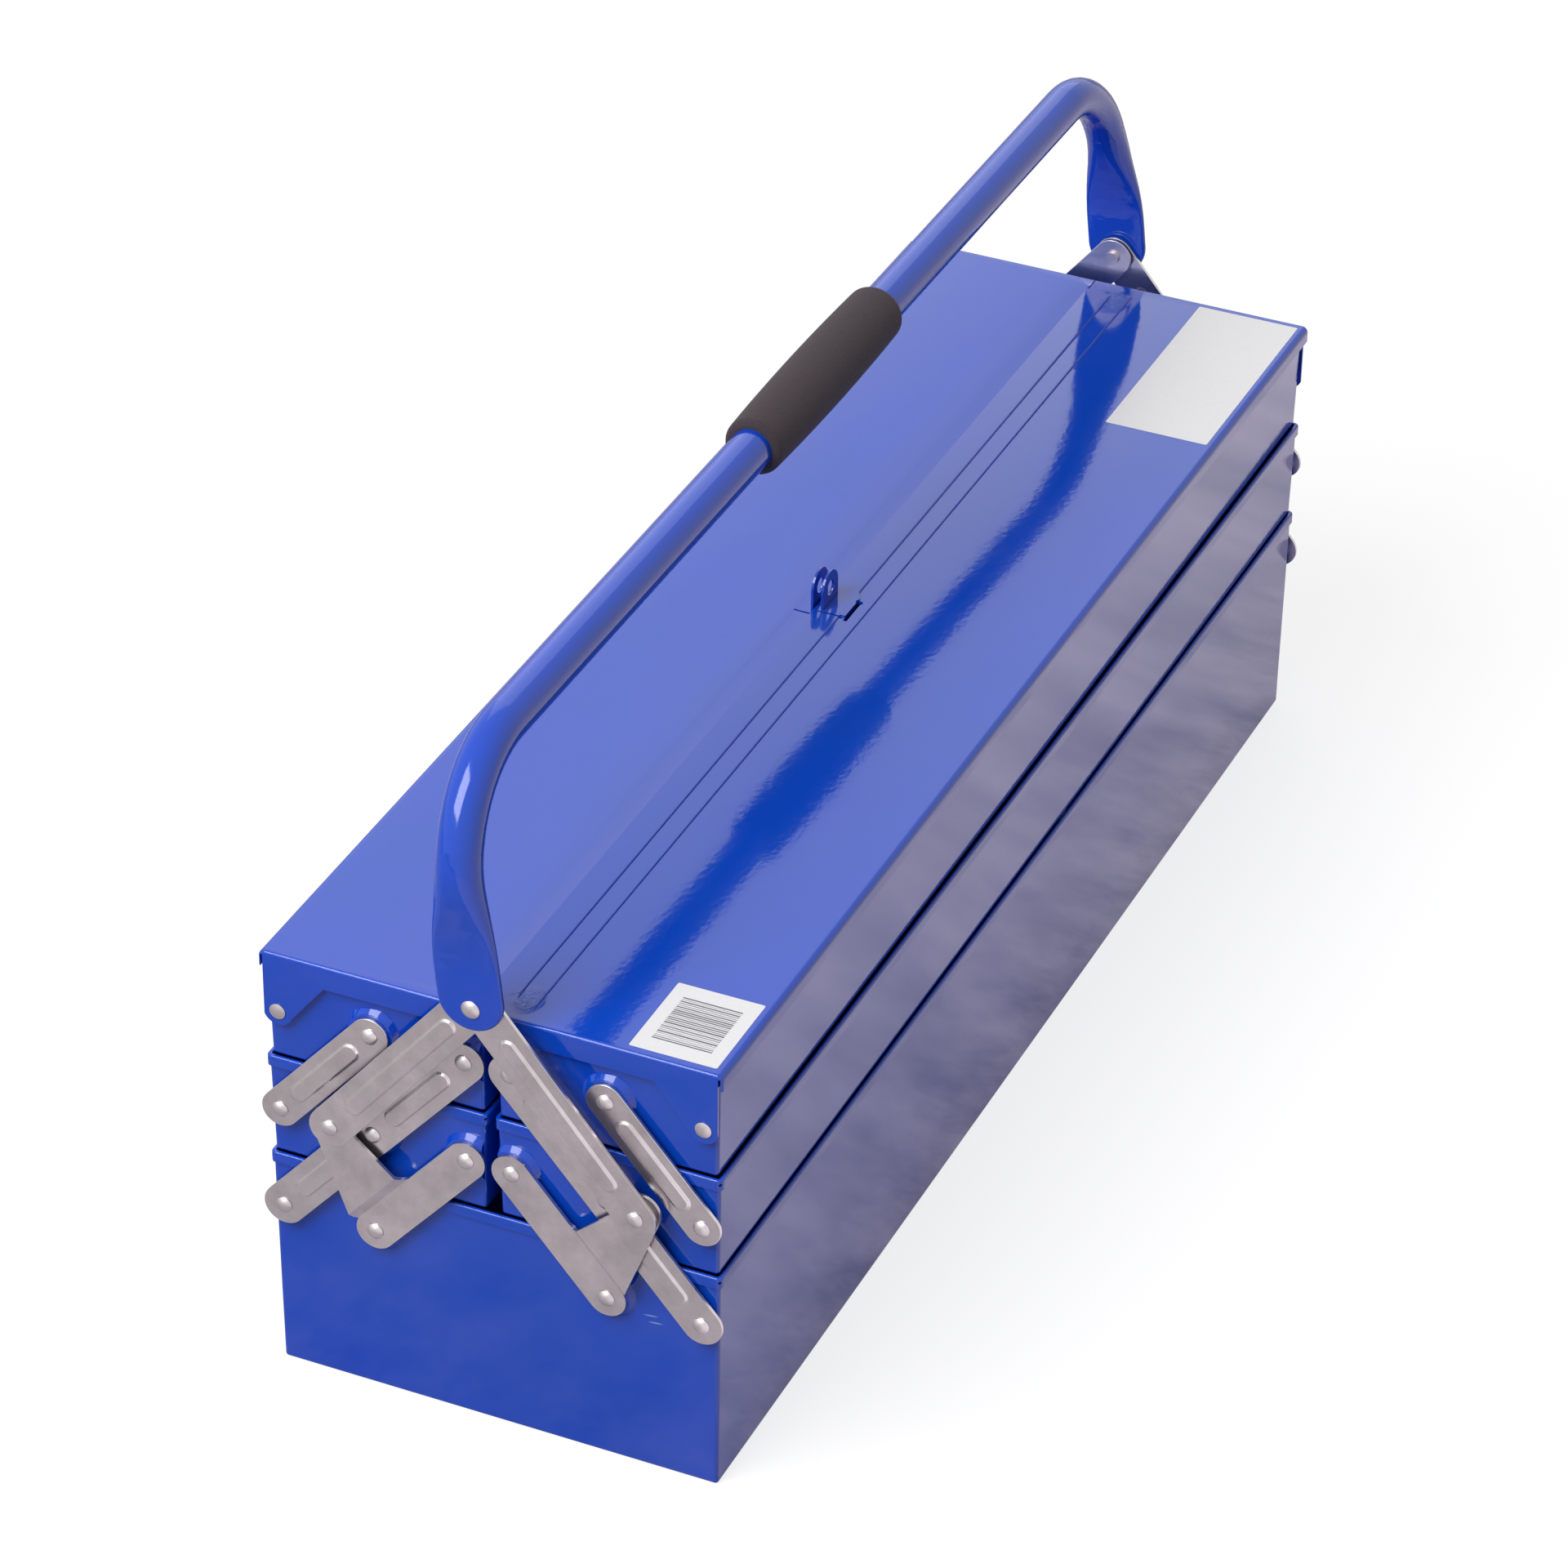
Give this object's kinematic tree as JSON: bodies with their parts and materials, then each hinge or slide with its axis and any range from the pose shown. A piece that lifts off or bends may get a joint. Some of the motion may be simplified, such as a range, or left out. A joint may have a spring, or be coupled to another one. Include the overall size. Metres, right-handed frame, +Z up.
{
  "type": "cantilever tool box",
  "caption": "Sheet-steel tool box whose trays fold out on riveted links as its tubular handle comes down, with hinged lids and padlock lugs.",
  "frame": {"origin": "on the floor under the middle of the closed box", "axes": "+Z up, X along the box with the pictured end at -X, +Y towards the left lid"},
  "size_m": [0.687, 0.2036, 0.3276],
  "materials": {
    "blue_paint": "gloss",
    "zinc_plate": "satin zinc plate",
    "foam_grip": "matte foam"
  },
  "bodies": {
    "base": {"base_bin": "blue_paint", "base_link_rivets": "zinc_plate"},
    "left_long_links": {"near_left_long_link": "zinc_plate", "far_left_long_link": "zinc_plate"},
    "left_middle": {"left_middle_tray": "blue_paint", "left_middle_tray_rivets": "zinc_plate", "left_middle_dividers": "blue_paint"},
    "left_top": {"left_top_tray": "blue_paint", "left_top_tray_rivets": "zinc_plate", "left_lid_rivets": "zinc_plate", "left_top_dividers": "blue_paint"},
    "left_lid_body": {"left_lid": "blue_paint", "left_hasp_lug": "blue_paint"},
    "left_short_links": {"near_left_short_link": "zinc_plate", "far_left_short_link": "zinc_plate"},
    "left_cranks": {"near_left_crank_plate": "zinc_plate", "far_left_crank_plate": "zinc_plate", "left_crank_rivets": "zinc_plate"},
    "left_arms": {"near_left_arm": "zinc_plate", "far_left_arm": "zinc_plate", "left_arm_studs": "zinc_plate"},
    "right_long_links": {"near_right_long_link": "zinc_plate", "far_right_long_link": "zinc_plate"},
    "right_middle": {"right_middle_tray": "blue_paint", "right_middle_tray_rivets": "zinc_plate", "right_middle_dividers": "blue_paint"},
    "right_top": {"right_top_tray": "blue_paint", "right_top_tray_rivets": "zinc_plate", "right_lid_rivets": "zinc_plate", "right_top_dividers": "blue_paint"},
    "right_lid_body": {"right_lid": "blue_paint", "right_hasp_lug": "blue_paint"},
    "right_short_links": {"near_right_short_link": "zinc_plate", "far_right_short_link": "zinc_plate"},
    "right_cranks": {"near_right_crank_plate": "zinc_plate", "far_right_crank_plate": "zinc_plate", "right_crank_rivets": "zinc_plate", "right_arm_spacers": "zinc_plate"},
    "right_arms": {"near_right_arm": "zinc_plate", "far_right_arm": "zinc_plate"},
    "handle_pivots": {"handle_rivets": "zinc_plate"},
    "handle": {"handle_tube": "blue_paint", "handle_grip": "foam_grip"}
  },
  "joints": [
    {"name": "tray_fold", "type": "hinge", "parent": "base", "child": "left_long_links", "pos_m": [0, 0.0928, 0.083], "axis": [-1, 0, 0], "range_deg": [0, 81]},
    {"name": "left_middle_level", "type": "hinge", "parent": "left_long_links", "child": "left_middle", "pos_m": [0, 0.0514, 0.131], "axis": [-1, 0, 0], "range_deg": [-81, 0]},
    {"name": "left_top_level", "type": "hinge", "parent": "left_long_links", "child": "left_top", "pos_m": [0, 0.01, 0.179], "axis": [-1, 0, 0], "range_deg": [-81, 0]},
    {"name": "left_short_turn", "type": "hinge", "parent": "left_middle", "child": "left_short_links", "pos_m": [0, 0.0928, 0.131], "axis": [-1, 0, 0], "range_deg": [0, 81]},
    {"name": "left_crank_turn", "type": "hinge", "parent": "base", "child": "left_cranks", "pos_m": [0, 0.0514, 0.083], "axis": [-1, 0, 0], "range_deg": [0, 81]},
    {"name": "left_arm_turn", "type": "hinge", "parent": "left_cranks", "child": "left_arms", "pos_m": [0, 0.0678, 0.133], "axis": [-1, 0, 0], "range_deg": [-117.1, 0]},
    {"name": "left_lid_swing", "type": "hinge", "parent": "left_top", "child": "left_lid_body", "pos_m": [0, 0.0928, 0.178], "axis": [-1, 0, 0], "range_deg": [0, 135]},
    {"name": "right_fold", "type": "hinge", "parent": "base", "child": "right_long_links", "pos_m": [0, -0.0928, 0.083], "axis": [1, 0, 0], "range_deg": [0, 81]},
    {"name": "right_middle_level", "type": "hinge", "parent": "right_long_links", "child": "right_middle", "pos_m": [0, -0.0514, 0.131], "axis": [1, 0, 0], "range_deg": [-81, 0]},
    {"name": "right_top_level", "type": "hinge", "parent": "right_long_links", "child": "right_top", "pos_m": [0, -0.01, 0.179], "axis": [1, 0, 0], "range_deg": [-81, 0]},
    {"name": "right_short_turn", "type": "hinge", "parent": "right_middle", "child": "right_short_links", "pos_m": [0, -0.0928, 0.131], "axis": [1, 0, 0], "range_deg": [0, 81]},
    {"name": "right_crank_turn", "type": "hinge", "parent": "base", "child": "right_cranks", "pos_m": [0, -0.0514, 0.083], "axis": [1, 0, 0], "range_deg": [0, 81]},
    {"name": "right_arm_turn", "type": "hinge", "parent": "right_cranks", "child": "right_arms", "pos_m": [0, -0.0678, 0.133], "axis": [1, 0, 0], "range_deg": [-117.1, 0]},
    {"name": "right_lid_swing", "type": "hinge", "parent": "right_top", "child": "right_lid_body", "pos_m": [0, -0.0928, 0.178], "axis": [1, 0, 0], "range_deg": [0, 135]},
    {"name": "handle_lower", "type": "slide", "parent": "base", "child": "handle_pivots", "axis": [0, 0, 1], "range_m": [-0.1141, 0]},
    {"name": "handle_swing", "type": "hinge", "parent": "handle_pivots", "child": "handle", "pos_m": [0, 0, 0.2155], "axis": [1, 0, 0], "range_deg": [-43, 55]}
  ],
  "couplings": [
    {"joint": "left_middle_level", "follows": "tray_fold", "ratio": -1},
    {"joint": "left_top_level", "follows": "tray_fold", "ratio": -1},
    {"joint": "left_short_turn", "follows": "tray_fold", "ratio": 1},
    {"joint": "left_crank_turn", "follows": "tray_fold", "ratio": 1},
    {"joint": "left_arm_turn", "follows": "tray_fold", "ratio": -1.4445},
    {"joint": "right_fold", "follows": "tray_fold", "ratio": 1},
    {"joint": "right_middle_level", "follows": "tray_fold", "ratio": -1},
    {"joint": "right_top_level", "follows": "tray_fold", "ratio": -1},
    {"joint": "right_short_turn", "follows": "tray_fold", "ratio": 1},
    {"joint": "right_crank_turn", "follows": "tray_fold", "ratio": 1},
    {"joint": "right_arm_turn", "follows": "tray_fold", "ratio": -1.4445},
    {"joint": "handle_lower", "follows": "tray_fold", "m_per_rad": -0.080626}
  ]
}
